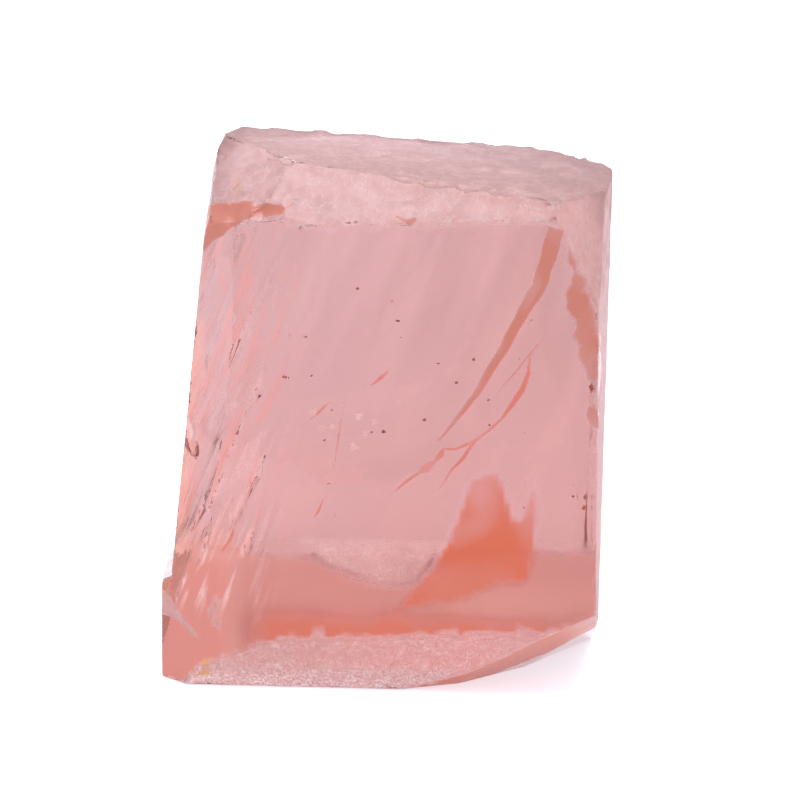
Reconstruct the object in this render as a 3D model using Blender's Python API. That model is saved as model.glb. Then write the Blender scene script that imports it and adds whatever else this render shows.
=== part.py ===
"""Morganite specimen: one loose fragment of clear pink-orange beryl.

The stone is a sawn and broken block. Flat faces bound it, and flake scars,
scoops, hackle steps and small chips are cut into them. Sizes are in
millimetres, and mm() turns them into metres. The origin is on the underside,
in the middle of the bounding box.
"""
import math
import random

import bmesh
import bpy
from mathutils import Matrix, Vector

# Driving dimensions, in millimetres and degrees.
# X runs along the broad front face, Y from it into the stone, Z up.
MM = 0.001
TOP_HEIGHT = 22.6
TOP_SLOPE = 5.1
FRONT_LEAN = 11.0
RIGHT_SIDE = 9.36
LEFT_SIDE = -10.26
BACK_DEPTH = 11.0
EDGE_WEAR = 0.10

# A face is the bearing of its outward normal, anticlockwise from +X, the
# tilt of that normal above the horizontal, and a point on the face.
BLOCK_FACES = {
    "sawn_top": (0, 90 - TOP_SLOPE, (0, 7, TOP_HEIGHT)),
    "base": (0, -90, (0, 0, 0)),
    "front": (-96, FRONT_LEAN, (0, -0.9, 2.56)),
    "top_bevel": (-98, 47, (1.8, 2.7, 21.2)),
    "bevel_left": (-112, 55, (-4.4, 2.9, 21.8)),
    "bevel_corner": (-137, 50, (-5.6, 6.8, 22.95)),
    "toe": (-94, -19.4, (0, 0, 0)),
    "right_upper": (-7, 1, (9.75, 5.9, 21.7)),
    "right_lower": (-0.6, -2, (RIGHT_SIDE, 6.7, 3)),
    "right_corner": (-39, 27.6, (7.5, 1.95, 21.1)),
    "undercut_left": (-74, -52.5, (0.45, 0, 0)),
    "undercut_middle": (-54, -53, (3.1, 0.75, 0)),
    "undercut_right": (-40, -53.5, (6.2, 3.05, 0)),
    "left": (180, 0, (LEFT_SIDE, 5, 2)),
    "left_shoulder": (182, 12, (-8.35, 8, 19.8)),
    "left_front": (-108, 11.5, (-4.8, 1.06, 10)),
    "left_edge": (-132, 11, (-7.8, 2.05, 10)),
    "left_foot": (-129, 8.7, (-7.65, -0.1, 2.5)),
    "back": (91.5, 4.5, (0, BACK_DEPTH + 0.3, 22)),
    "back_right": (66, 6, (9.2, BACK_DEPTH - 0.7, 21.83)),
    "back_corner": (28, 8, (9.72, BACK_DEPTH - 1.5, 21.8)),
    "back_left": (152, 6, (-7.1, 10.0, 23)),
    "heel_high": (92, -56, (0, BACK_DEPTH + 1.25, 2.5)),
    "heel_low": (92, -68, (0, BACK_DEPTH - 1.1, 0.9)),
}

# What broke off the left side, above the ledge near its foot.
LEFT_FLAKE_FACES = {
    "flake_floor": (-2, -5.4, (-9.72, 4, 5)),
    "ledge": (-14, -60, (-9.95, 4, 4.2)),
}

# A scoop is a lens: its centre, its length, width and thickness, and the
# bearing and tilt of its length and of the way it faces.
SCOOPS = {
    "clear_scoop": ((-6.3, 3.1, 21.35), (4.6, 2.4, 1.8), (4, 12), (-102, 58)),
    "left_spall": ((-9.75, 3.0, 14.2), (9.0, 3.0, 0.9), (200, 76), (-156, 10)),
}
SCOOP_DETAIL = 4

# A flake scar is a shallow rippled dish in one face: the face, a point near
# it, the radius across and along, the turn of the long side, and the depth.
SCARS = {
    "back_scar_high": ("back", (-1.4, 11, 14.0), (8.2, 8.2), 25, 0.85),
    "back_scar_right": ("back", (9.8, 11, 6.4), (5.2, 6.4), 10, 0.6),
    "back_scar_low": ("back", (-7.6, 12, 5.0), (5.8, 4.2), -20, 0.6),
    "heel_scar": ("heel_high", (6.4, 11.4, 1.9), (4.6, 3.0), 0, 0.4),
    "left_scar": ("left_edge", (-8.8, 3.4, 12.4), (2.4, 7.0), 6, 0.25),
    "right_scar": ("right_lower", (9.6, 8.4, 9.0), (3.6, 6.4), 10, 0.3),
}
SCAR_RINGS = 9
SCAR_SPOKES = 36
RIPPLE_COUNT = 3.5
RIPPLE_HEIGHT = 0.025

# Edges of the sawn top that are chipped: start, end and number of chips.
RIM_EDGES = (
    ((-6.6, 11.05, 23.2), (7.4, 11.35, 21.95), 12),
    ((7.8, 10.9, 21.95), (9.5, 10.1, 21.8), 3),
    ((-4.0, 5.05, 23.0), (7.5, 3.1, 22.0), 8),
    ((-7.4, 8.6, 23.3), (-4.2, 5.3, 23.05), 4),
)
RIM_SEED = 5
CHIP_DETAIL = 2

# Hackle steps: x and z of the upper end, and the drop from it to the lower.
HACKLES = (
    (-5.2, 19.6, 3.2),
    (-6.3, 17.4, 4.1),
    (-7.0, 16.0, 2.6),
    (-5.6, 14.6, 3.0),
    (-7.3, 13.6, 3.6),
    (-6.4, 12.4, 2.8),
    (-8.0, 12.0, 3.0),
    (-5.3, 10.8, 3.3),
    (-7.2, 10.0, 3.8),
    (-6.2, 8.9, 2.4),
    (-8.2, 9.0, 2.6),
    (-5.7, 7.2, 2.2),
    (-7.6, 6.9, 2.0),
)
HACKLE_Y = 2.0
HACKLE_LEAN = 20
HACKLE_WIDTH = 0.45
HACKLE_SEED = 3

STONE_COLOUR = (0.86, 0.47, 0.45, 1)
STONE_ROUGHNESS = 0.12


def mm(sizes):
    """Turns a point or sizes in millimetres into a vector in metres."""
    return Vector(sizes) * MM


def outward(bearing, tilt):
    """Returns the unit vector with this bearing and tilt in degrees."""
    turn = math.radians(bearing)
    rise = math.radians(tilt)
    return Vector((math.cos(turn) * math.cos(rise), math.sin(turn) * math.cos(rise), math.sin(rise)))


def clear_scene():
    """Takes every object out of the scene."""
    for thing in list(bpy.data.objects):
        bpy.data.objects.remove(thing, do_unlink=True)


def link_mesh(name, shape):
    """Makes an object called name from a bmesh and frees the bmesh."""
    mesh = bpy.data.meshes.new(name)
    shape.to_mesh(mesh)
    shape.free()
    thing = bpy.data.objects.new(name, mesh)
    bpy.context.scene.collection.objects.link(thing)
    return thing


def faceted_solid(name, faces):
    """Cuts a large cube down to the solid behind all of the faces."""
    shape = bmesh.new()
    bmesh.ops.create_cube(shape, size=80 * MM)
    for bearing, tilt, point in faces.values():
        everything = shape.verts[:] + shape.edges[:] + shape.faces[:]
        cut = bmesh.ops.bisect_plane(
            shape, geom=everything, dist=1e-8,
            plane_co=mm(point), plane_no=outward(bearing, tilt), clear_outer=True,
        )
        rim = [piece for piece in cut["geom_cut"] if isinstance(piece, bmesh.types.BMEdge)]
        bmesh.ops.contextual_create(shape, geom=rim)
    bmesh.ops.recalc_face_normals(shape, faces=shape.faces[:])
    return link_mesh(name, shape)


def lens(name, centre, size, along, facing, detail):
    """Makes a closed lens: a squashed icosphere, long along one direction."""
    shape = bmesh.new()
    bmesh.ops.create_icosphere(shape, subdivisions=detail, radius=0.5)
    across = facing.cross(along).normalized()
    out = along.cross(across).normalized()
    axes = Matrix((along.normalized(), across, out)).transposed().to_4x4()
    place = Matrix.Translation(centre) @ axes @ Matrix.Diagonal((*size, 1))
    bmesh.ops.transform(shape, matrix=place, verts=shape.verts)
    return link_mesh(name, shape)


def dish(name, centre, facing, radii, turn, depth):
    """Makes the cutter of a flake scar: a rippled bowl under a flat lid."""
    shape = bmesh.new()
    side = facing.cross(Vector((0, 0, 1))).normalized()
    rise = side.cross(facing).normalized()
    axes = Matrix((side, rise, facing)).transposed().to_4x4()
    place = Matrix.Translation(centre) @ axes @ Matrix.Rotation(math.radians(turn), 4, "Z")
    reach = 1.25
    rings = []
    for ring in range(1, SCAR_RINGS + 1):
        share = reach * ring / SCAR_RINGS
        ripple = RIPPLE_HEIGHT * MM * math.sin(2 * math.pi * RIPPLE_COUNT * share) * share
        height = depth * (share ** 2 - 1) + ripple
        points = []
        for spoke in range(SCAR_SPOKES):
            angle = 2 * math.pi * spoke / SCAR_SPOKES
            across = radii[0] * share * math.cos(angle)
            along = radii[1] * share * math.sin(angle)
            points.append(shape.verts.new(place @ Vector((across, along, height))))
        rings.append(points)
    bottom = shape.verts.new(place @ Vector((0, 0, -depth)))
    lid = shape.verts.new(place @ Vector((0, 0, depth * reach ** 2)))
    for spoke in range(SCAR_SPOKES):
        after = (spoke + 1) % SCAR_SPOKES
        shape.faces.new((bottom, rings[0][after], rings[0][spoke]))
        for inner, outer in zip(rings, rings[1:]):
            shape.faces.new((inner[spoke], inner[after], outer[after], outer[spoke]))
        shape.faces.new((rings[-1][spoke], rings[-1][after], lid))
    bmesh.ops.recalc_face_normals(shape, faces=shape.faces[:])
    return link_mesh(name, shape)


def groove(name, start, end, width, depth, facing):
    """Makes a slim double wedge that cuts one hackle step from start to end."""
    shape = bmesh.new()
    across = facing.cross(end - start).normalized()
    middle = start.lerp(end, 0.4)
    tips = [shape.verts.new(point + facing * depth * 0.3) for point in (start, end)]
    ring = [
        shape.verts.new(middle + across * width * 0.8),
        shape.verts.new(middle + facing * depth * 2),
        shape.verts.new(middle - across * width * 0.2),
        shape.verts.new(middle - facing * depth),
    ]
    for number in range(4):
        pair = (ring[number], ring[(number + 1) % 4])
        shape.faces.new((tips[0], *pair))
        shape.faces.new((tips[1], *reversed(pair)))
    bmesh.ops.recalc_face_normals(shape, faces=shape.faces[:])
    return link_mesh(name, shape)


def on_face(face, near):
    """Returns the nearest point of a block face, in metres."""
    bearing, tilt, point = BLOCK_FACES[face]
    normal = outward(bearing, tilt)
    return mm(Vector(near) - normal * normal.dot(Vector(near) - Vector(point)))


def keep_evaluated(thing):
    """Replaces an object's mesh by what its modifiers make of it."""
    graph = bpy.context.evaluated_depsgraph_get()
    mesh = bpy.data.meshes.new_from_object(thing.evaluated_get(graph))
    thing.modifiers.clear()
    thing.data = mesh


def cut_away(stone, cutter):
    """Takes the cutter's volume out of the stone and removes the cutter."""
    boolean = stone.modifiers.new(cutter.name, "BOOLEAN")
    boolean.operation = "DIFFERENCE"
    boolean.solver = "EXACT"
    boolean.object = cutter
    keep_evaluated(stone)
    bpy.data.objects.remove(cutter, do_unlink=True)


def wear_edges(stone):
    """Rounds off the stone's sharp edges by a narrow bevel."""
    bevel = stone.modifiers.new("worn_edges", "BEVEL")
    bevel.width = EDGE_WEAR * MM
    bevel.segments = 2
    bevel.limit_method = "ANGLE"
    bevel.angle_limit = math.radians(8)
    keep_evaluated(stone)


def cut_scoops(stone):
    """Cuts the lens-shaped scoops."""
    for name, (centre, size, along, facing) in SCOOPS.items():
        scoop = lens(name, mm(centre), mm(size), outward(*along), outward(*facing), SCOOP_DETAIL)
        cut_away(stone, scoop)


def cut_scars(stone):
    """Cuts the shallow rippled flake scars."""
    for name, (face, near, radii, turn, depth) in SCARS.items():
        facing = outward(*BLOCK_FACES[face][:2])
        cut_away(stone, dish(name, on_face(face, near), facing, mm((*radii, 0)), turn, depth * MM))


def chip_rim(stone):
    """Knocks rows of small chips out of the edges of the sawn top."""
    chance = random.Random(RIM_SEED)
    for start, end, count in RIM_EDGES:
        for number in range(count):
            share = (number + chance.uniform(0.2, 0.8)) / count
            lift = mm((0, 0, chance.uniform(-0.05, 0.15)))
            centre = mm(start).lerp(mm(end), share) + lift
            size = mm((chance.uniform(0.9, 2.4), chance.uniform(0.6, 1.1), chance.uniform(0.4, 0.7)))
            along = mm(end) - mm(start) + mm((0, 0, chance.uniform(-2.0, 2.0)))
            facing = Vector((chance.uniform(-0.3, 0.3), chance.uniform(-0.6, 0.0), 1))
            cut_away(stone, lens("rim_chip", centre, size, along, facing, CHIP_DETAIL))


def step_hackles(stone):
    """Cuts the slanting hackle steps of the left front side."""
    chance = random.Random(HACKLE_SEED)
    for x, z, drop in HACKLES:
        face = "left_front" if x > -7.6 else "left_edge"
        facing = outward(*BLOCK_FACES[face][:2])
        start = on_face(face, (x, HACKLE_Y, z))
        end = on_face(face, (x - drop * math.tan(math.radians(HACKLE_LEAN)), HACKLE_Y, z - drop))
        depth = chance.uniform(0.07, 0.14) * MM
        cut_away(stone, groove("hackle", start, end, HACKLE_WIDTH * MM, depth, facing))


def stand_on_origin(stone):
    """Moves the mesh so that its box stands centred on the origin."""
    corners = [Vector(corner) for corner in stone.bound_box]
    low = Vector([min(corner[axis] for corner in corners) for axis in range(3)])
    high = Vector([max(corner[axis] for corner in corners) for axis in range(3)])
    middle = (low + high) / 2
    stone.data.transform(Matrix.Translation((-middle.x, -middle.y, -low.z)))


def stone_material():
    """Makes the plain material of the stone."""
    material = bpy.data.materials.new("morganite")
    material.use_nodes = True
    shader = material.node_tree.nodes["Principled BSDF"]
    shader.inputs["Base Color"].default_value = STONE_COLOUR
    shader.inputs["Roughness"].default_value = STONE_ROUGHNESS
    shader.inputs["Metallic"].default_value = 0
    return material


def build_stone():
    """Makes the whole stone."""
    stone = faceted_solid("morganite_crystal", BLOCK_FACES)
    cut_away(stone, faceted_solid("left_flake", LEFT_FLAKE_FACES))
    wear_edges(stone)
    cut_scars(stone)
    cut_scoops(stone)
    chip_rim(stone)
    step_hackles(stone)
    stand_on_origin(stone)
    stone.data.materials.clear()
    stone.data.materials.append(stone_material())
    return stone


def main():
    clear_scene()
    build_stone()


main()
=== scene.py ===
import math

import bmesh
import bpy
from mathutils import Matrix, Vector, noise


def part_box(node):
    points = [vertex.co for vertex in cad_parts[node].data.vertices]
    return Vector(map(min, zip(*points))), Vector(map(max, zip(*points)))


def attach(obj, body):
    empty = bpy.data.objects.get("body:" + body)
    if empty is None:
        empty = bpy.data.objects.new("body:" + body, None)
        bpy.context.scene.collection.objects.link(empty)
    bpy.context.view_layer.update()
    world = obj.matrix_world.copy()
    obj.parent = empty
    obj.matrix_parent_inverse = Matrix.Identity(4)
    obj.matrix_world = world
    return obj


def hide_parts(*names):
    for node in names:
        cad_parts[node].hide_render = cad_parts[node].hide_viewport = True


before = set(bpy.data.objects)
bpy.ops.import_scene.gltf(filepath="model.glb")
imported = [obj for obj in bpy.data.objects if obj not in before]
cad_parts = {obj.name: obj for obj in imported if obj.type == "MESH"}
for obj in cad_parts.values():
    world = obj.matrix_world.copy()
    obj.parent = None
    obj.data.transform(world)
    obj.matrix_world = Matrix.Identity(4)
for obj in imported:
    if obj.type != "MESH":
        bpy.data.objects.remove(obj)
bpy.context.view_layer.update()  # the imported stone, in metres, standing on its underside
print("frame loaded")

mm = 0.001


def linear(hexColour):  # an sRGB hex value as a linear colour
    parts = [int(hexColour[place:place + 2], 16) / 255 for place in (1, 3, 5)]
    parts = [part / 12.92 if part <= 0.04045 else ((part + 0.055) / 1.055) ** 2.4 for part in parts]
    return (*parts, 1)


# sockets go by their number or capital name, everything else is a property of the node
def addNode(tree, kind, settings=None, links=None):
    node = tree.nodes.new(kind)
    for name, value in (settings or {}).items():
        if isinstance(name, int) or name[0].isupper():
            node.inputs[name].default_value = value
        else:
            setattr(node, name, value)
    for name, source in (links or {}).items():
        tree.links.new(source, node.inputs[name])
    return node


stone = {
    "node": "morganite_crystal",
    "cell": 0.26,  # mm between the cuts that give the relief its points
    "quickCell": 0.4,
    "zero": (0.114, -5.6984, 0.0),  # mm, where the faces below have their zero
    "sharpAngle": 32,  # degrees, from where an edge is shaded as sharp
    "mostRelief": 0.02,  # mm that the relief may stand out
    "wornDepth": 0.02,  # mm that a worn edge loses
    "rimTurns": 4,  # how often the rims of old scars are smoothed
    "floorFree": 0.02,  # mm above the floor where the relief starts
    "swell": (0.012, 3.5),  # mm high and across, the gentle waves of every face
    "ripple": (0.006, 1.6),
}

# the old scars at the back and low at the front, whose rims are rounded, not worn white
scars = {
    "heights": (3, 20),  # mm
    "back": 8,  # mm, from here on it is the back
    "left": -3.5,  # mm, further left the front is torn instead
    "angles": (0.02, 0.2),  # radians between two faces at such a rim
}

# the clear front as a plane, in mm: y = start + turn * x + lean * (z - foot)
front = {
    "start": -0.9,
    "turn": -0.1051,
    "lean": 0.1957,
    "foot": 2.56,
    "fall": 0.306,  # mm that a look from 18 degrees above falls for each mm it goes in
    "clearDepth": 2,  # mm, points further back than this aren't on the front
    "patchDepth": 9,  # mm, nor do the patches reach further back than this
}

# each face: bearing and tilt of its normal in degrees, and a point on it in mm
stoneFaces = {
    "sawnTop": (0, 84.9, (0, 7, 22.6)),
    "topBevel": (-98, 47, (1.8, 2.7, 21.2)),
    "bevelLeft": (-112, 55, (-4.4, 2.9, 21.8)),
    "bevelCorner": (-137, 50, (-5.6, 6.8, 22.95)),
    "toe": (-94, -19.4, (0, 0, 0)),
    "rightUpper": (-7, 1, (9.75, 5.9, 21.7)),
    "rightCorner": (-39, 27.6, (7.5, 1.95, 21.1)),
    "backRight": (66, 6, (9.2, 10.3, 21.83)),
    "undercutMiddle": (-54, -53, (3.1, 0.75, 0)),
    "heelHigh": (92, -56, (0, 12.25, 2.5)),
    "heelLow": (92, -68, (0, 9.9, 0.9)),
    "ledge": (-14, -60, (-9.95, 4, 4.2)),
    "leftFoot": (-129, 8.7, (-7.65, -0.1, 2.5)),
    "flakeFloor": (-2, -5.4, (-9.72, 4, 5)),
}

# how rough each ground or broken face is: frost, lump height and lump size in mm
roughFaces = {
    "sawnTop": (1.0, 0.025, 0.7),
    "topBevel": (0.8, 0.12, 1.0),
    "bevelLeft": (0.9, 0.2, 1.0),
    "bevelCorner": (0.9, 0.2, 1.0),
    "toe": (1.0, 0.05, 0.8),
    "rightUpper": (0.9, 0.03, 0.8),
    "rightCorner": (0.8, 0.02, 1.2),
    "flakeFloor": (0.8, 0.02, 0.8),
}

# faces that broke with a soft satin shine: satin, lump height and lump size in mm
satinFaces = {
    "backRight": (0.3, 0.02, 1.5),
    "undercutMiddle": (0.8, 0.02, 1.5),
    "heelHigh": (1.5, 0.02, 1.5),
    "heelLow": (1.5, 0.02, 1.5),
    "ledge": (1.6, 0.02, 0.8),
    "leftFoot": (0.8, 0.02, 1.5),
}

lowVeil = [  # the low crack as it shows on the front face, x and z in mm
    (3.6, 9.89), (4.18, 10.13), (4.72, 10.28), (5.04, 9.93), (5.22, 9.18), (5.4, 8.52),
    (5.71, 8.09), (6.08, 8.99), (6.3, 10.11), (6.61, 9.45), (6.52, 7.89), (6.39, 6.33),
    (6.17, 5.43), (5.49, 5.36), (4.95, 5.3), (4.05, 4.92), (3.38, 4.54), (1.8, 4.31),
    (0.22, 3.99), (0.99, 4.91), (1.8, 5.96), (2.56, 7.32), (3.06, 8.45), (3.38, 9.57),
]

# patches of the surface, crusted by iron, orange from iron stain and painted reflection, or pale
# from grinding
# and painted light: how strong, how ragged and how soft in mm, and the outline as it shows on the
# front face, x and z in mm
patches = {
    "cornerPatch": (
        "crust", 1.2, 0.15, 0.12,
        [(-8.4, 21.6), (-7.6, 21.72), (-6.3, 21.75), (-5.4, 21.72), (-4.3, 21.72), (-4.75, 21.23),
         (-5.76, 21.11), (-6.5, 20.9), (-7.1, 20.55), (-7.56, 20.1), (-8.3, 19.5), (-8.5, 20.8)],
    ),
    "edgePatch": (
        "crust", 1.0, 0.2, 0.2,
        [(7.88, 20.17), (8.14, 19.64), (8.69, 18.5), (9.09, 17.45), (9.3, 16.21), (9.3, 14.78),
         (9.2, 13.45), (8.87, 14.33), (8.5, 15.03), (8.28, 15.64), (8.01, 16.4), (8.14, 16.97),
         (7.79, 17.41), (7.74, 18.03), (7.96, 18.48), (8.01, 19.06), (7.83, 19.5)],
    ),
    "edgeFleck": (
        "crust", 0.9, 0.15, 0.1,
        [(8.8, 13.3), (9.3, 13.0), (9.3, 12.2), (8.85, 12.35), (8.7, 12.9)],
    ),
    "bevelNick": ("crust", 0.8, 0.15, 0.1, [(0.3, 21.25), (1.15, 21.2), (0.85, 20.85)]),
    # the low crack's orange: iron stain and painted reflection of the light the crack mirrors
    "lowIronAndReflection": ("glow", 1.0, 0.12, 0.35, lowVeil),
    # painted light: pale frost that lifts the dip above the foot where the dark heel shows through
    "paintedDipLight": (
        "frost", 0.75, 0.1, 0.6,
        [(-4.0, 7.0), (2.4, 7.0), (1.6, 5.9), (1.1, 5.2), (0.2, 5.0), (-0.9, 5.1), (-2.8, 5.8)],
    ),
    "sliver": (
        "frost", 1.8, 0.02, 0.06,
        [(-10.4, 4.6), (-9.99, 4.35), (-9.54, 3.7), (-9.0, 3.0), (-8.55, 2.4), (-8.9, 2.6),
         (-9.45, 3.12), (-9.86, 3.3), (-10.4, 3.44)],
    ),
}

crack = {
    "fineWidth": 1.6,  # cracks finer than the long blade are drawn this much wider, to show
    "step": 0.4,  # mm between the points of a crack's line, and how far they shift
    "shift": 0.05,
    "soft": 0.06,  # mm, how soft its border is
}

# stained cracks that reach the front, the finer ones orange partly from iron and partly as painted
# reflection: the middle line on the front face and its width, in mm
streaks = {
    "longBlade": [
        (7.33, 20.95, 0.77), (6.97, 19.61, 0.77), (6.57, 18.35, 0.7), (5.89, 17.3, 0.47),
        (5.44, 16.5, 0.4), (5.0, 15.63, 0.36), (4.37, 14.63, 0.32), (3.73, 13.58, 0.27),
        (2.97, 12.58, 0.18), (2.11, 11.53, 0.04),
    ],
    "bladeEdge": [
        (7.0, 19.6, 0.04), (6.75, 18.3, 0.12), (6.12, 17.3, 0.12), (5.62, 16.5, 0.14),
        (5.15, 15.6, 0.14), (4.5, 14.6, 0.14), (3.84, 13.55, 0.12), (3.05, 12.55, 0.1),
        (2.11, 11.5, 0.04),
    ],
    "feather": [
        (6.22, 15.4, 0.04), (6.12, 14.6, 0.14), (5.85, 13.87, 0.2), (5.4, 13.19, 0.14),
        (4.95, 12.6, 0.11), (4.37, 12.05, 0.09), (3.82, 11.59, 0.1), (3.24, 10.81, 0.13),
        (2.7, 10.21, 0.09), (2.11, 9.3, 0.03),
    ],
    "featherRoot": [
        (3.82, 11.62, 0.05), (3.4, 11.4, 0.12), (2.92, 11.2, 0.1), (2.4, 11.16, 0.08),
        (2.3, 10.95, 0.22), (2.0, 10.62, 0.14), (1.6, 10.3, 0.26), (1.3, 10.1, 0.1),
        (0.67, 9.62, 0.09), (0.3, 9.3, 0.06), (0.09, 9.1, 0.03),
    ],
    "hair": [(6.9, 16.3, 0.03), (6.3, 15.58, 0.06), (5.49, 14.58, 0.06), (4.72, 13.62, 0.03)],
    "dash": [(0.02, 14.6, 0.03), (-0.4, 14.2, 0.15), (-0.85, 13.82, 0.03)],
    "cornerLine": [
        (-4.37, 21.5, 0.05), (-4.55, 21.0, 0.09), (-4.8, 20.5, 0.07), (-5.0, 20.1, 0.03),
    ],
    "leftTick": [(-6.9, 7.5, 0.03), (-7.1, 6.9, 0.12), (-7.5, 6.3, 0.05)],
    "dashLeft": [(-2.6, 13.1, 0.03), (-3.15, 12.61, 0.1), (-3.6, 12.2, 0.03)],
    "lineLow": [(-2.02, 13.18, 0.03), (-2.25, 11.75, 0.07), (-2.48, 10.27, 0.03)],
    "middleTick": [(-2.9, 8.9, 0.03), (-3.2, 8.3, 0.09), (-3.4, 7.9, 0.03)],
}

# small bruises and nicks that show pale: x and z on the front, and how wide and tall, in mm
bruises = [
    (-8.0, 3.6, 0.12, 0.3), (-7.85, 4.1, 0.1, 0.2), (-7.7, 3.2, 0.1, 0.25),
    (9.15, 15.9, 0.14, 0.5), (9.2, 12.5, 0.14, 0.3), (8.9, 18.2, 0.1, 0.3),
    (-8.2, 14.6, 0.12, 0.6), (-8.75, 11.6, 0.12, 0.5), (5.4, 21.4, 0.4, 0.15),
]

# how the ground faces are worn, in shares of their frost
wear = {
    "footLitPaler": 1.3,  # more frost, so paler, at the very foot, up to this height in mm: painted light from the floor
    "footHeight": 1.6,
    "topBlotch": 0.5,  # how blotchy the sawn end is, and the bevels
    "bevelBlotch": 1.2,
    "bruise": 1.2,
    "border": 0.14,  # mm, how soft a ground face ends, and the breaks that widen it
    "breaks": (0.5, 0.8),  # mm wide at most, and mm across
    "crumbs": (0.2, 0.35),
    "rim": (0.35, 0.8),  # mm from the sawn end's edge, where the bruise thins and where it ends
    "edge": (0.25, 0.5),  # radians between two faces, from where their edge is worn and fully so
}


def outward(bearing, tilt):  # the way a face looks, from its bearing and tilt in degrees
    turn, rise = math.radians(bearing), math.radians(tilt)
    level = math.cos(rise)
    return Vector((math.cos(turn) * level, math.sin(turn) * level, math.sin(rise)))


faceNormals = {name: outward(bearing, tilt) for name, (bearing, tilt, point) in stoneFaces.items()}
facePoints = {name: Vector(point) for name, (bearing, tilt, point) in stoneFaces.items()}
stoneZero = Vector(stone["zero"])


def ramp(value, low, high):  # 0 below low, 1 above high, smooth between
    share = min(max((value - low) / (high - low), 0), 1)
    return share * share * (3 - 2 * share)


def onFace(name, point, normal, soft):  # 1 on the face, 0 away from it or turned from it
    away = abs((point - facePoints[name]).dot(faceNormals[name]))
    if away >= soft:
        return 0
    return (1 - ramp(away, 0.03, soft)) * ramp(normal.dot(faceNormals[name]), 0.35, 0.6)


def lumps(point, size, shift=0):  # smooth noise with lumps of this size in mm
    return noise.noise(point / size + Vector((shift, 2 * shift, -shift)))


def frontPoint(x, z):  # the point of the front face at x and z
    return Vector((x, front["start"] + front["turn"] * x + front["lean"] * (z - front["foot"]), z))


def frontPlace(point):  # where a point near the front shows on the front face
    run = front["fall"] * (point.y - frontPoint(point.x, point.z).y)
    return point.x, point.z + run


def frostAt(point, normal):  # how ground or frosted the surface is, with broken borders, plus the pale patches of painted light and painted glints
    (broken, size), (crumbled, grain) = wear["breaks"], wear["crumbs"]
    spread = wear["border"] + broken * max(0, lumps(point, size, 6))
    spread += crumbled * max(0, lumps(point, grain, 4))
    frost = 0
    for name, (amount, height, size) in roughFaces.items():
        frost = max(frost, amount * onFace(name, point, normal, spread))
    # painted light: the frost grows paler at the very foot, as the floor lights it
    frost *= 1 + wear["footLitPaler"] * (1 - ramp(point.z, 0.1, wear["footHeight"]))
    blotch = wear["topBlotch"] if normal.z > 0.9 else wear["bevelBlotch"]
    frost *= 1 + blotch * max(0, lumps(point, 0.9, 12)) * ramp(point.z, 15, 20)
    frost = max(frost, rimAt(point))
    frost *= 1 - patchAt(point, "crust")
    if point.y < 4:
        # the pale patches, with the painted light of the dip and the painted glints, and the
        # bruises
        frost = max(frost, patchAt(point, "frost"))
        x, z = frontPlace(point)
        for middleX, middleZ, wide, tall in bruises:
            away = math.hypot((x - middleX) / wide, (z - middleZ) / tall)
            away += 0.5 * lumps(point, 0.3, 8)
            frost = max(frost, wear["bruise"] * (1 - ramp(away, 0.6, 1.3)))
    return frost


def insideBy(x, z, outline):  # mm inside an outline, below 0 outside it
    nearest, inside = 99, False
    for number, (startX, startZ) in enumerate(outline):
        runX, runZ = outline[number - 1][0] - startX, outline[number - 1][1] - startZ
        if (startZ > z) != (startZ + runZ > z) and x < startX + runX * (z - startZ) / runZ:
            inside = not inside
        share = ((x - startX) * runX + (z - startZ) * runZ) / (runX ** 2 + runZ ** 2)
        share = min(max(share, 0), 1)
        nearest = min(nearest, math.hypot(x - startX - share * runX, z - startZ - share * runZ))
    return nearest if inside else -nearest


def lineOutline(line):  # the outline of a line that has a width at each point
    left, right = [], []
    for number, (x, z, width) in enumerate(line):
        before, after = line[max(number - 1, 0)], line[min(number + 1, len(line) - 1)]
        run = Vector((after[0] - before[0], after[1] - before[1])).normalized() * width / 2
        left.append((x - run.y, z + run.x))
        right.append((x + run.y, z - run.x))
    return left + right[::-1]


def brokenLine(points, step, reach):  # more points, a little shifted, as a break runs
    line = []
    for start, end in zip(points, points[1:]):
        count = max(int(math.dist(start[:2], end[:2]) / step), 1)
        for part in range(count):
            x, z, width = [low + (high - low) * part / count for low, high in zip(start, end)]
            # Blender starts this noise from the clock, so each run shifts a little differently
            shift = noise.noise_vector(Vector((x, z, 2)) / 0.7) * reach
            line.append((x + shift.x, z + shift.y, width * (1 + 6 * shift.z)))
    return line + [points[-1]]


for name, line in streaks.items():
    kind = "crust" if name == "longBlade" else "glow"
    if kind == "glow":
        line = [(x, z, crack["fineWidth"] * width) for x, z, width in line]
    line = brokenLine(line, crack["step"], crack["shift"])
    patches[name] = (kind, 1.0, 0.0, crack["soft"], lineOutline(line))

# painted glints: small pale frosted flakes on the front that stand in for glints of light: x, z and
# size in mm
glints = [
    (-3.33, 12.69, 0.28), (-3.06, 11.94, 0.22), (-1.4, 12.4, 0.26), (-0.63, 12.29, 0.2),
    (-1.67, 11.23, 0.3), (-6.93, 12.75, 0.25), (-2.5, 12.0, 0.2), (-1.1, 11.8, 0.18),
]

for number, (x, z, size) in enumerate(glints):
    corners = [(1.9 * number + turn, 0.4 + 0.6 * (turn > 3)) for turn in (0, 1.3, 3.3, 4.6)]
    outline = [
        (x + size * far * math.cos(turn), z + size * far * math.sin(turn)) for turn, far in corners
    ]
    patches[f"glint{number}"] = ("frost", 1.4, 0.0, 0.1, outline)

patchBounds = {}  # lowest and highest x and z of each patch
for name, (kind, strength, ragged, soft, outline) in patches.items():
    across, along = zip(*outline)
    patchBounds[name] = (min(across), max(across), min(along), max(along))


def patchDepths(point, reach):  # how far inside each patch near it a point is, in mm
    x, z = frontPlace(point)
    for name, (left, right, low, high) in patchBounds.items():
        if left - reach < x < right + reach and low - reach < z < high + reach:
            yield name, insideBy(x, z, patches[name][-1])


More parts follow.
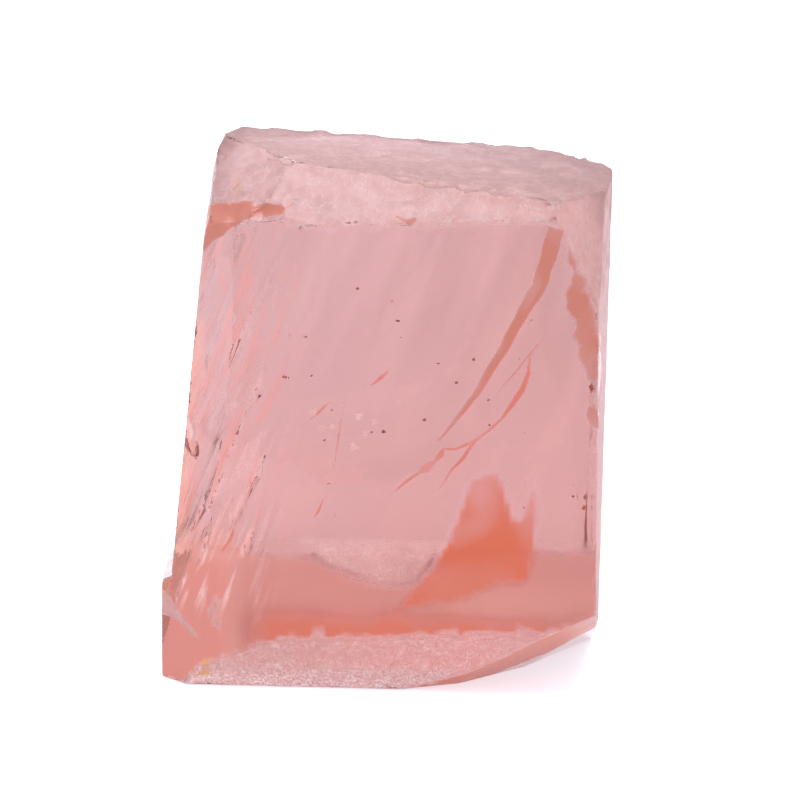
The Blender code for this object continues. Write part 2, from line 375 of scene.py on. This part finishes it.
def patchAt(point, wanted):  # how much of one kind of patch is here
    amount = 0
    if point.y < front["patchDepth"]:
        for name, depth in patchDepths(point, 0.5):
            kind, strength, ragged, soft, outline = patches[name]
            if kind == wanted:
                depth += ragged * lumps(point, 0.6, 9)
                share = ramp(depth, -0.4 * soft, 0.6 * soft)
                amount = max(amount, min(strength * share * (0.95 + 0.3 * lumps(point, 1.6, 3)), 1))
    return amount


def refinePatches(shape):  # smaller faces along the borders of the patches
    for reach, softest in ((0.22, 0.3), (0.12, 0.15)):  # mm from the border, and softness in mm
        edges = set()
        for face in shape.faces:
            point = face.calc_center_median() / mm - stoneZero
            if point.y < front["patchDepth"] and face.normal.y < 0.1:
                for name, depth in patchDepths(point, reach):
                    if abs(depth) < reach and patches[name][3] < softest:
                        edges.update(face.edges)
        bmesh.ops.subdivide_edges(shape, edges=list(edges), cuts=1, use_grid_fill=True)
        bmesh.ops.triangulate(shape, faces=[face for face in shape.faces if len(face.verts) > 3])
    shape.normal_update()


def satinAt(point, normal):  # how softly the surface shines
    heel = 1.4 * ramp(point.y, 8.0, 9.0) * (1 - ramp(point.z, 2.8, 5.6))
    satin = max(heel, tears["satin"] * tornAt(point))
    for name, (amount, height, size) in satinFaces.items():
        satin = max(satin, amount * onFace(name, point, normal, 0.3))
    return satin


# two small ochre stains of iron: middle, width, depth and height in mm
ochreSpots = ((-6.9, 4.8, 22.1, 0.35, 2.5, 1.0), (-8.4, 0.6, 0.9, 0.7, 2.5, 0.6))


def ochreAt(point):
    amount = 0
    for x, y, z, wide, deep, tall in ochreSpots:
        away = Vector(((point.x - x) / wide, (point.y - y) / deep, (point.z - z) / tall)).length
        amount = max(amount, (1 - ramp(away, 0.3, 1.0)) * ramp(lumps(point, 0.4, 3), -0.3, 0.3))
    return amount


def rimAt(point):  # the bruised edge between the sawn end and the bevels
    rim = 0
    for name in ("topBevel", "bevelLeft", "bevelCorner"):
        pair = ("sawnTop", name)
        far = max(abs((point - facePoints[face]).dot(faceNormals[face])) for face in pair)
        rim = max(rim, 1 - ramp(far, *wear["rim"]))
    return rim


# the orange flush, and painted shade at the heel: shares of full strength, and in mm where it
# starts and is full, or ends
flushAndHeelShade = {
    "block": (-5.8, 2.6),  # the low block at the left: its right side, and how far it fades
    "blockTop": (5.0, 8.0),
    "edge": (8.1, 0.7),  # the left edge: how far left it is halfway up, and how far it fades
    "edgeLean": 0.09,
    "edgeTop": (15, 17),
    "edgeShare": 0.7,
    # painted shade: the heel's darker orange, carried up the back face above the heel's edge
    "heel": (8, 9),
    "heelTop": (1.5, 3.5),
    "heelShare": 0.5,
    "rim": (2, 6),  # the right end of the bruised edge
    "rimShare": 0.9,
}


def flushAndShadeAt(point):  # the flush of the low block, the left edge and the bruised edge, and painted shade at the heel, its darker orange carried up the back
    side, fade = flushAndHeelShade["block"]
    top = point.z + 0.4 * lumps(point, 2, 1)
    block = ramp(side - point.x, 0, fade) * (1 - ramp(top, *flushAndHeelShade["blockTop"]))
    side, fade = flushAndHeelShade["edge"]
    edge = ramp(-point.x - side - flushAndHeelShade["edgeLean"] * (14 - point.z), 0, fade)
    edge *= 1 - ramp(point.z, *flushAndHeelShade["edgeTop"])
    top = point.z + 1.0 * lumps(point, 2.5, 2)
    heel = ramp(point.y, *flushAndHeelShade["heel"]) * (1 - ramp(top, *flushAndHeelShade["heelTop"]))
    rim = flushAndHeelShade["rimShare"] * rimAt(point) * ramp(point.x, *flushAndHeelShade["rim"])
    return max(block, flushAndHeelShade["edgeShare"] * edge, flushAndHeelShade["heelShare"] * heel, rim)


# the upper border of the painted light on the foot of the front, a pale salmon film over the dark
# band where the shaded heel shows through, x and z in mm
paintedFootLightTop = [
    (-10.5, 6.6), (-7.3, 6.5), (-3.2, 6.3), (-0.8, 5.6),
    (1.3, 5.5), (4.5, 6.6), (5.9, 6.9), (9.6, 7.0),
]


# the low block at the left gets more of this painted light: its right side and how far it fades in
# mm
paintedFootLightBlock = {"block": (-6.2, 1.5), "thicker": 1.2}


def paintedFootLightAt(point):  # how much painted light lifts the foot of the front
    if point.y > front["clearDepth"]:
        return 0
    x, z = frontPlace(point)
    top = 6.3  # mm, beyond either end of the border
    for (startX, startZ), (endX, endZ) in zip(paintedFootLightTop, paintedFootLightTop[1:]):
        if startX <= x < endX:
            top = startZ + (endZ - startZ) * (x - startX) / (endX - startX)
    side, fade = paintedFootLightBlock["block"]
    thick = 1 + paintedFootLightBlock["thicker"] * ramp(side - x, 0, fade)
    return thick * (1 - ramp(z - top + 0.3 * lumps(point, 1.3, 4), -0.5, 0.4))


# orange along the foot and in the low block, partly iron stain and partly painted reflection of
# light on long paths inside the stone: shares, and the rest in mm
footAndBlockOrange = {
    "line": 0.9,
    "lineTop": (3.1, 4.3),
    "lineLeft": (-7.5, -5),
    "block": 0.35,
    "blockSide": (-6.4, 1.5),  # its right side, and how far it fades
    "blockTop": (5.5, 6.5),
}


def ironAndReflectionAt(point):  # strong orange, partly iron stain and partly painted reflection: the cracks, the foot's line, the block
    if point.y > front["clearDepth"]:
        return 0
    x, z = frontPlace(point)
    cracks = patchAt(point, "glow") * (1 - 0.1 * ramp(z, 7, 10))
    line = footAndBlockOrange["line"] * (1 - ramp(z + 0.3 * lumps(point, 1.5, 6), *footAndBlockOrange["lineTop"]))
    line *= ramp(x, *footAndBlockOrange["lineLeft"])
    side, fade = footAndBlockOrange["blockSide"]
    block = footAndBlockOrange["block"] * ramp(side - x, 0, fade) * (1 - ramp(z, *footAndBlockOrange["blockTop"]))
    return max(cracks, line, block)


tears = {  # the left of the front, which broke in fine slanting lines
    "lean": 20,  # degrees from upright, down to the left
    "right": -3.6,  # mm, where they start, and how much further left they are at full strength
    "fade": 2.5,
    "foot": (2.6, 4.5),  # mm, the heights between which they start and end
    "head": (17.5, 20),
    "height": 0.03,  # mm
    "fine": (0.42, 4.5),  # mm across and along
    "broad": (1.1, 6.0),
    "fineShare": 0.55,
    "satin": 0.5,
}


def hackle(point):  # the height of the tear lines, from about -1 to 1
    lean = math.radians(tears["lean"])
    across = point.x * math.cos(lean) - point.z * math.sin(lean)
    along = point.x * math.sin(lean) + point.z * math.cos(lean)
    wander = 0.4 * noise.noise(Vector((across / 3, along / 4, 5)))
    fine, broad = [
        noise.noise(Vector(((across + wander) / wide, along / long, shift)))
        for (wide, long), shift in ((tears["fine"], 1), (tears["broad"], 9))
    ]
    return fine * tears["fineShare"] + broad


def reliefAt(point, normal):  # mm the surface stands out or in from the plain facet
    (swell, wide), (ripple, narrow) = stone["swell"], stone["ripple"]
    height = swell * lumps(point, wide) + ripple * lumps(point, narrow, 3)
    near = []
    for name, (amount, rise, size) in (*roughFaces.items(), *satinFaces.items()):
        here = onFace(name, point, normal, 0.4)
        if here > 0:
            near.append(here)
            shape = lumps(point, size, 1) + 0.5 * lumps(point, size * 0.45, 2)
            height += here * rise * (shape - 0.5)
    if len(near) > 1:  # the edges between two faces stay crisp
        height *= 1 - 0.75 * sorted(near)[-2]
    torn = tornAt(point)
    if torn > 0 and normal.y < 0:
        height += torn * tears["height"] * (hackle(point) - 0.3)
    return height


def tornAt(point):  # how torn the surface is
    torn = ramp(tears["right"] - point.x + 0.1 * (point.z - 12), 0, tears["fade"])
    return torn * ramp(point.z, *tears["foot"]) * (1 - ramp(point.z, *tears["head"]))


def cutCells(shape, low, high, cell):  # cuts the faces on a grid, so they have points to move
    for axis in (1, 0, 2):
        across = Vector([float(number == axis) for number in range(3)])
        for number in range(1, int((high[axis] - low[axis]) / cell) + 1):
            level = across * (low[axis] + (number - 0.37) * cell)
            everything = shape.verts[:] + shape.edges[:] + shape.faces[:]
            bmesh.ops.bisect_plane(
                shape, geom=everything, dist=1e-8, plane_co=level, plane_no=across
            )
    bmesh.ops.triangulate(shape, faces=shape.faces[:])
    shape.normal_update()


# specks inside, small flat voids: x and z on the front face and size, in mm
specks = [
    (3.73, 15.14, 0.2), (2.97, 14.09, 0.2), (4.41, 13.38, 0.18), (1.53, 12.4, 0.22),
    (-1.44, 18.09, 0.2), (0.1, 17.6, 0.1), (0.67, 6.68, 0.3), (6.97, 3.32, 0.5),
    (-4.5, 14.08, 0.2), (-3.51, 14.2, 0.16), (-2.61, 12.71, 0.14), (-0.81, 11.79, 0.14),
    (-2.92, 11.37, 0.16), (5.1, 15.6, 0.24),
]

speck = {
    "look": (0.038, 0.963, -0.266),  # the way a look from 18 degrees above goes inside
    "depth": 2.5,  # mm along that look, and how much deeper each of four in a row lies
    "deeper": 0.9,
    "facing": (58, -48),  # bearing and tilt of the flat side in degrees, and how far it sways
    "sway": 0.15,
    "flat": 0.2,
    "crooked": 0.15,  # share of the size
    "stain": 0.9,
}


def addSpecks():  # the voids, each as deep inside as its number gives
    shape = bmesh.new()
    stainLayer = shape.verts.layers.float.new("stain")
    for number, (x, z, size) in enumerate(specks):
        deep = speck["depth"] + speck["deeper"] * (number % 4)
        middle = frontPoint(x, z) + Vector(speck["look"]) * deep
        swing = Vector((math.sin(number * 2.1), math.cos(number * 1.7), math.cos(number * 1.3)))
        turn = (outward(*speck["facing"]) + speck["sway"] * swing).to_track_quat("Z", "Y")
        ball = bmesh.ops.create_icosphere(shape, subdivisions=1, radius=0.4 * size)["verts"]
        for vert in ball:
            vert[stainLayer] = speck["stain"]
            vert.co.z *= speck["flat"]
            crooked = noise.noise_vector(vert.co * 9) * size * speck["crooked"]
            vert.co = middle + turn @ (vert.co + crooked)
    bmesh.ops.triangulate(shape, faces=shape.faces[:])
    bmesh.ops.recalc_face_normals(shape, faces=shape.faces[:])
    bmesh.ops.reverse_faces(shape, faces=shape.faces[:])
    for vert in shape.verts:
        vert.co = (vert.co + stoneZero) * mm
    return shape


def paintStone(shape):  # gives each point its surface values; returns its relief and the rims
    names = ("frost", "torn", "ochre", "satin", "flushAndShade", "crust", "paintedFootLight", "glow")
    layers = {name: shape.verts.layers.float.new(name) for name in names}
    (low, high), (flat, steep) = scars["heights"], scars["angles"]
    moves, rims = [], set()
    for vert in shape.verts:
        point, normal = vert.co / mm - stoneZero, vert.normal
        sharp = max(edge.calc_face_angle(0) for edge in vert.link_edges)
        worn = ramp(sharp, *wear["edge"]) * ramp(lumps(point, 0.5, 4), -0.1, 0.5)
        faint = flat < sharp < steep and point.x > scars["left"]
        if low < point.z < high and (point.y > scars["back"] or faint):
            worn = 0
            if sharp > flat:
                rims.update((vert, *[edge.other_vert(vert) for edge in vert.link_edges]))
        frost = frostAt(point, normal)
        bevel = max(onFace(name, point, normal, 0.3) for name in ("topBevel", "bevelLeft"))
        vert[layers["frost"]] = max(frost, worn)
        # the bevels get half the tear lines, with their painted highlights and shade
        vert[layers["torn"]] = max(tornAt(point), 0.5 * bevel)
        vert[layers["ochre"]] = ochreAt(point)
        vert[layers["satin"]] = satinAt(point, normal)
        # the flush, with painted shade at the heel
        vert[layers["flushAndShade"]] = flushAndShadeAt(point)
        vert[layers["crust"]] = patchAt(point, "crust") if normal.y < 0.1 else 0
        # painted light on the foot, less where there is frost
        vert[layers["paintedFootLight"]] = paintedFootLightAt(point) * (1 - min(frost, 1))
        # the orange of cracks, foot and block: partly painted reflection
        vert[layers["glow"]] = ironAndReflectionAt(point) * (1 - min(frost, 1))
        moves.append(min(reliefAt(point, normal) - stone["wornDepth"] * worn, stone["mostRelief"]))
    return moves, rims


def buildStone():
    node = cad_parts[stone["node"]]
    low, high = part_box(stone["node"])
    shape = bmesh.new()
    shape.from_mesh(node.data)
    bmesh.ops.remove_doubles(shape, verts=shape.verts[:], dist=2e-7)
    cutCells(shape, low, high, stone["cell"] * mm)
    refinePatches(shape)
    moves, rims = paintStone(shape)
    for vert, move in zip(shape.verts, moves):
        if vert.co.z > stone["floorFree"] * mm:
            vert.co += vert.normal * move * mm
            vert.co.z = max(vert.co.z, 0.0)
    for turn in range(stone["rimTurns"]):  # the rims of the old scars at the back are rounded
        bmesh.ops.smooth_vert(
            shape, verts=list(rims), factor=0.5, use_axis_x=True, use_axis_y=True, use_axis_z=True
        )
    voids = addSpecks()
    voidMesh = bpy.data.meshes.new("voids")
    voids.to_mesh(voidMesh)
    voids.free()
    shape.from_mesh(voidMesh)
    bpy.data.meshes.remove(voidMesh)
    mesh = bpy.data.meshes.new("morganite")
    shape.to_mesh(mesh)
    shape.free()
    mesh.set_sharp_from_angle(angle=math.radians(stone["sharpAngle"]))
    piece = bpy.data.objects.new("morganiteStone", mesh)
    bpy.context.scene.collection.objects.link(piece)
    print("stone:", len(mesh.polygons), "faces")
    return piece


# Morganite, pink beryl: a clear crystal, IOR 1.58, broken and sawn. Broken faces are
# glassy; the sawn and ground ones scatter what passes through them into a pale frost.
morganite = {
    "colour": "#cab5bf",
    "topColour": "#b49ca2",
    "bandColour": "#cdb2b8",
    "deepBelow": 5,  # mm, the height where the colour starts to change
    "paleAbove": 17,
    "bandSize": (1.6, 5.0, 9.0),  # mm across, into and along the growth bands
    "bandShare": 0.6,  # how much of the band colour shows
    "frostDeep": "#deb1ae",
    "frostPale": "#edd5d2",
    "frostTop": "#dcdad8",  # what the sawn end's frost is dulled by
    "ochre": "#d9a04e",
    # the flush, and the painted shade at the heel
    "flushAndShade": "#eeb29a",
    # painted shade between the tear lines
    "paintedTearShade": "#d98f86",
    "stain": "#ff8f5c",  # iron on the voids inside
    "crust": "#a85e4c",  # iron crust on the surface
    "paintedFootLight": "#cb887f",  # painted light on the foot, a pale salmon film over its dark band
    "glow": "#b65031",  # orange cracks, foot line and block: iron stain and painted reflection
    "crustCover": 0.9,  # how much light each film holds back
    "paintedFootLightCover": 0.35,
    "ironAndReflectionCover": 0.95,
    "stainCover": 0.45,
    "ochreCover": 0.6,
    "ior": 1.58,
    "frostRoughness": 0.6,
    "satinRoughness": 0.22,
    "stainRoughness": 0.5,
    "crustRoughness": 0.3,
    "paintedFootLightRoughness": 0.35,
    "frostThin": 0.2,  # what the frost holds back where it is thin, and where it is thick
    "frostThick": 0.38,
    "absorption": (0.767, 0.26, 0.06),  # the hue that the stone lets through
    "density": 75,
    "grain": 0.09,  # mm, the saw's sand marks
    "crumbs": 0.4,  # mm, small broken crumbs
    "crumbShare": 2.0,  # how much higher the crumbs stand than the sand marks
    "grainHeight": 0.004,
    "tearSize": (0.3, 1.5, 3.5),  # mm across, into and along the tear lines
    "tearHighlights": (0.54, 0.64, 0.6),  # painted highlights of the tear lines: from and to which height they show, and how much
    # painted shade between the tear lines, the same
    "shadedTears": (0.46, 0.36, 0.7),
    "tearHeight": 0.06,
}


def makeMorganite():
    material = bpy.data.materials.new("morganiteClearAndSawn")
    material.use_nodes = True
    tree = material.node_tree
    shader = tree.nodes["Principled BSDF"]
    shader.inputs["IOR"].default_value = morganite["ior"]
    place = addNode(tree, "ShaderNodeTexCoord").outputs["Object"]
    ground, satin, torn, ochre, stain, crust, flushAndShade, paintedFootLight, glow = [
        addNode(tree, "ShaderNodeAttribute", {"attribute_name": name}).outputs["Fac"]
        for name in ("frost", "satin", "torn", "ochre", "stain", "crust", "flushAndShade", "paintedFootLight", "glow")
    ]
    lean = (0, math.radians(-tears["lean"]), 0)  # the growth bands lean as the tear lines do
    leaned = addNode(tree, "ShaderNodeMapping", {"Rotation": lean}, {"Vector": place}).outputs[0]
    noises = {}  # each noise: its place, mm across a patch, how fine it goes, what of it counts
    for name, vector, size, detail, low, high in (
        ("grain", place, (morganite["grain"],) * 3, 2.0, 0.35, 0.65),
        ("crumbs", place, (morganite["crumbs"],) * 3, 3.0, 0.35, 0.65),
        ("tears", leaned, morganite["tearSize"], 3.0, 0.0, 1.0),
        ("bands", leaned, morganite["bandSize"], 2.0, 0.45, 0.7),
    ):
        scaled = addNode(
            tree, "ShaderNodeVectorMath",
            {"operation": "MULTIPLY", 1: [1 / (length * mm) for length in size]}, {0: vector},
        )
        texture = addNode(
            tree, "ShaderNodeTexNoise", {"Scale": 1, "Detail": detail},
            {"Vector": scaled.outputs[0]},
        )
        spread = addNode(
            tree, "ShaderNodeMapRange", {"From Min": low, "From Max": high},
            {"Value": texture.outputs[0]},
        )
        noises[name] = spread.outputs[0]

    # the torn side gets fine painted highlights, pale lines of frost, with painted salmon shade
    # between them, as from small steps of relief
    lines = []
    for low, high, most in (morganite["tearHighlights"], morganite["shadedTears"]):
        line = addNode(
            tree, "ShaderNodeMapRange", {"From Min": low, "From Max": high, "To Max": most},
            {"Value": noises["tears"]},
        )
        line = addNode(
            tree, "ShaderNodeMath", {"operation": "MULTIPLY"}, {0: line.outputs[0], 1: torn}
        )
        lines.append(line.outputs[0])
    frost = addNode(
        tree, "ShaderNodeMath", {"operation": "MAXIMUM"}, {0: ground, 1: lines[0]}
    ).outputs[0]

    # the clear body, paler towards the sawn end, with faint slanting growth bands
    height = addNode(tree, "ShaderNodeSeparateXYZ", {}, {0: place}).outputs["Z"]
    rise = addNode(
        tree, "ShaderNodeMapRange",
        {"From Min": morganite["deepBelow"] * mm, "From Max": morganite["paleAbove"] * mm},
        {"Value": height},
    )
    banding = addNode(
        tree, "ShaderNodeMath", {"operation": "MULTIPLY", 1: morganite["bandShare"]},
        {0: noises["bands"]},
    )
    speckled = addNode(
        tree, "ShaderNodeMath", {"operation": "MULTIPLY"}, {0: noises["grain"], 1: noises["crumbs"]}
    )
    frostWhite = addNode(
        tree, "ShaderNodeMix",
        {"data_type": "RGBA", 6: linear(morganite["frostDeep"]), 7: linear(morganite["frostPale"])},
        {0: speckled.outputs[0]},
    )
    frostTone = addNode(
        tree, "ShaderNodeMix",
        {"data_type": "RGBA", "blend_type": "MULTIPLY", 7: linear(morganite["frostTop"])},
        {0: rise.outputs[0], 6: frostWhite.outputs[2]},
    )
    # the colour, in layers: the flush with its painted heel shade, the painted shade of the tear
    # lines, the painted light on the foot, the orange of iron and painted reflection, the frost
    # with its painted light and glints, the ochre, the stained voids and the crust
    colour = None
    for share, name in (
        (rise.outputs[0], "topColour"), (banding.outputs[0], "bandColour"), (flushAndShade, "flushAndShade"),
        (lines[1], "paintedTearShade"), (paintedFootLight, "paintedFootLight"), (glow, "glow"), (frost, "frost"),
        (ochre, "ochre"), (stain, "stain"), (crust, "crust"),
    ):
        settings, links = {"data_type": "RGBA"}, {0: share}
        if colour:
            links[6] = colour
        else:
            settings[6] = linear(morganite["colour"])
        if name == "frost":
            links[7] = frostTone.outputs[2]
        else:
            settings[7] = linear(morganite[name])
        colour = addNode(tree, "ShaderNodeMix", settings, links).outputs[2]
    tree.links.new(colour, shader.inputs["Base Color"])

    # the roughest treatment of a place sets its roughness
    rough = None
    for share, name in (
        (frost, "frostRoughness"), (satin, "satinRoughness"), (stain, "stainRoughness"),
        (crust, "crustRoughness"), (paintedFootLight, "paintedFootLightRoughness"),
    ):
        treated = addNode(
            tree, "ShaderNodeMath", {"operation": "MULTIPLY", 1: morganite[name]}, {0: share}
        ).outputs[0]
        if rough:
            treated = addNode(
                tree, "ShaderNodeMath", {"operation": "MAXIMUM"}, {0: rough, 1: treated}
            ).outputs[0]
        rough = treated
    tree.links.new(rough, shader.inputs["Roughness"])

    # frost with its painted light, the painted light on the foot, iron with its painted reflection,
    # stains and crust hold back some of the light; the rest passes through
    thickness = addNode(
        tree, "ShaderNodeMapRange",
        {"To Min": morganite["frostThin"], "To Max": morganite["frostThick"]},
        {"Value": noises["grain"]},
    )
    covered = addNode(
        tree, "ShaderNodeMath", {"operation": "MULTIPLY"}, {0: frost, 1: thickness.outputs[0]}
    ).outputs[0]
    for share, name in (
        (stain, "stainCover"), (ochre, "ochreCover"), (crust, "crustCover"),
        (paintedFootLight, "paintedFootLightCover"), (glow, "ironAndReflectionCover"),
    ):
        film = addNode(
            tree, "ShaderNodeMath", {"operation": "MULTIPLY", 1: morganite[name]}, {0: share}
        )
        covered = addNode(
            tree, "ShaderNodeMath", {"operation": "MAXIMUM", "use_clamp": True},
            {0: covered, 1: film.outputs[0]},
        ).outputs[0]
    clear = addNode(tree, "ShaderNodeMath", {"operation": "SUBTRACT", 0: 1.0}, {1: covered})
    tree.links.new(clear.outputs[0], shader.inputs["Transmission Weight"])

    # low relief: the tear lines, and the sand and crumbs of the frosted faces
    tearLines = addNode(
        tree, "ShaderNodeMath", {"operation": "MULTIPLY"}, {0: noises["tears"], 1: torn}
    )
    crumbled = addNode(
        tree, "ShaderNodeMath", {"operation": "MULTIPLY_ADD", 1: morganite["crumbShare"]},
        {0: noises["crumbs"], 2: noises["grain"]},
    )
    sand = addNode(
        tree, "ShaderNodeMath", {"operation": "MULTIPLY"}, {0: crumbled.outputs[0], 1: frost}
    )
    normal = None
    for depth, name in ((tearLines, "tearHeight"), (sand, "grainHeight")):
        bump = addNode(
            tree, "ShaderNodeBump", {"Strength": 1.0, "Distance": morganite[name] * mm},
            {"Height": depth.outputs[0], **({"Normal": normal} if normal else {})},
        )
        normal = bump.outputs[0]
    tree.links.new(normal, shader.inputs["Normal"])
    volume = addNode(
        tree, "ShaderNodeVolumeAbsorption",
        {"Color": (*morganite["absorption"], 1), "Density": morganite["density"]},
    )
    tree.links.new(volume.outputs[0], tree.nodes["Material Output"].inputs["Volume"])
    return material


studio = {
    "floor": "#d2d2d3",
    "floorGlow": 0.56,  # a light table, so that no hard shadow shows
    "floorSize": 4,  # metres
    "floorGap": 0.05,  # mm under the stone, so that the two surfaces never meet
    "light": (1.0, 1.02, 1.1),  # cool white
    "skyStrength": 1.1,
    "boxPower": 1.5,  # watts, of a round light overhead
    "boxSize": 0.4,  # metres
    "boxHeight": 0.4,
    "bounces": 48,  # light crosses a clear stone many times before it leaves
    "diffuseBounces": 8,
}

view = {
    "rise": 18,  # degrees above level
    "distance": 0.30,  # metres
    "width": 0.036,  # metres across the frame at the stone
    "target": (0.564, -0.1984, 11.84),  # mm
    "sensor": 36,  # mm
}


def buildStudio():
    under = (0, 0, -studio["floorGap"] * mm)
    bpy.ops.mesh.primitive_plane_add(size=studio["floorSize"], location=under)
    floor = bpy.context.object
    floor.name = "floor"
    paper = bpy.data.materials.new("whitePaper")  # matt paper, even and bright
    paper.use_nodes = True
    shader = paper.node_tree.nodes["Principled BSDF"]
    shader.inputs["Base Color"].default_value = linear(studio["floor"])
    shader.inputs["Roughness"].default_value = 1
    shader.inputs["Specular IOR Level"].default_value = 0
    shader.inputs["Emission Color"].default_value = (*studio["light"], 1)
    shader.inputs["Emission Strength"].default_value = studio["floorGlow"]
    floor.data.materials.append(paper)
    world = bpy.data.worlds.new("softStudio")
    world.use_nodes = True
    sky = world.node_tree.nodes["Background"]
    sky.inputs["Color"].default_value = (*studio["light"], 1)
    sky.inputs["Strength"].default_value = studio["skyStrength"]
    bpy.context.scene.world = world
    light = bpy.data.lights.new("overheadBox", "AREA")
    light.shape = "DISK"
    light.size = studio["boxSize"]
    light.energy = studio["boxPower"]
    light.color = studio["light"]
    box = bpy.data.objects.new("overheadBox", light)
    box.location = (0, 0, studio["boxHeight"])
    bpy.context.scene.collection.objects.link(box)


def placeCamera():
    rise = math.radians(view["rise"])
    lens = bpy.data.cameras.new("camera")
    lens.sensor_width = view["sensor"]
    lens.lens = view["sensor"] * view["distance"] / view["width"]
    lens.clip_start = 0.001
    lens.clip_end = 10
    camera = bpy.data.objects.new("camera", lens)
    away = Vector((0, -math.cos(rise), math.sin(rise)))
    camera.location = Vector(view["target"]) * mm + away * view["distance"]
    camera.rotation_euler = (math.pi / 2 - rise, 0, 0)
    bpy.context.scene.collection.objects.link(camera)
    bpy.context.scene.camera = camera


crystal = buildStone()
crystal.data.materials.append(makeMorganite())
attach(crystal, "root")
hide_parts(stone["node"])
print("stone ready")

buildStudio()
placeCamera()
scene = bpy.context.scene
scene.view_settings.view_transform = "Standard"
scene.cycles.max_bounces = studio["bounces"]
scene.cycles.transmission_bounces = studio["bounces"]
scene.cycles.glossy_bounces = studio["bounces"]
scene.cycles.diffuse_bounces = studio["diffuseBounces"]
print("studio ready")
